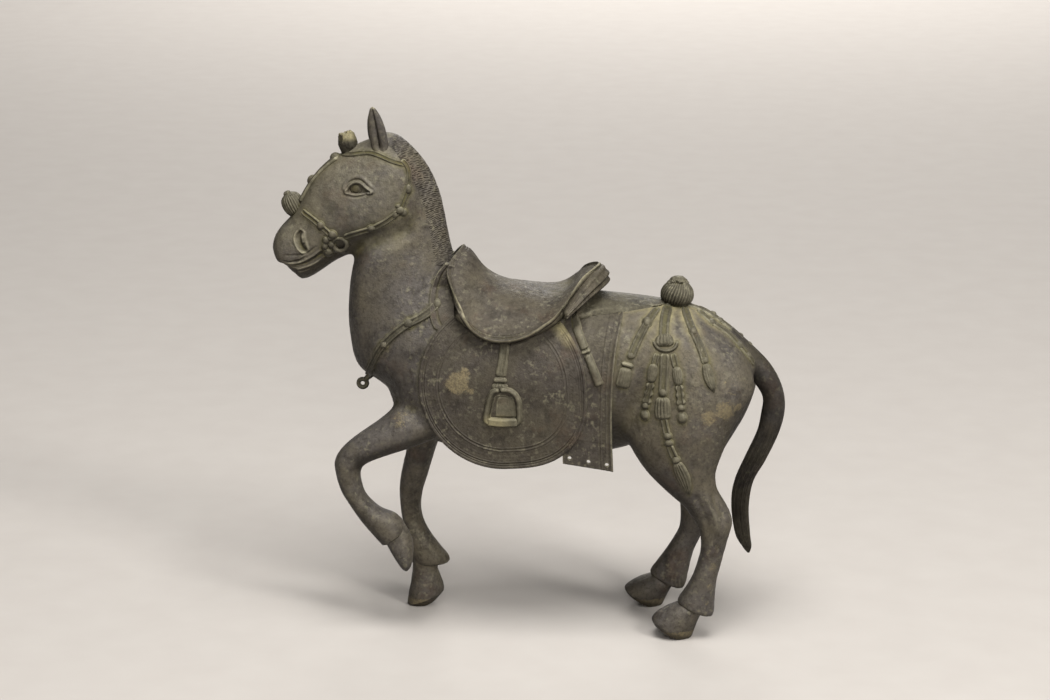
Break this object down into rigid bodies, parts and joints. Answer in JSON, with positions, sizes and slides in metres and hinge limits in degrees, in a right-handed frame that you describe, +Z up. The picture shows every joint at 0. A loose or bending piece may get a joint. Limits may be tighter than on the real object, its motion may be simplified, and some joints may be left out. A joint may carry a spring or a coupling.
{
  "type": "saddled horse figure",
  "caption": "Cast bronze horse figure in full harness, one foreleg lifted, carrying a high-peaked saddle, round mudguards, stirrups and tasselled straps.",
  "frame": {"origin": "middle of the figure's footprint, on the surface that its hooves stand on", "axes": "+Z up, the horse looks along -X and its near (left) side faces -Y"},
  "size_m": [0.2564, 0.075, 0.264],
  "materials": {
    "horse_bronze": "dark brown bronze patina with olive residue in the recesses and rubbed ochre patches",
    "saddle_bronze": "smooth dark brown bronze patina with a worn bright rim"
  },
  "bodies": {
    "root": {"horse": "horse_bronze", "saddle": "saddle_bronze"}
  },
  "joints": []
}
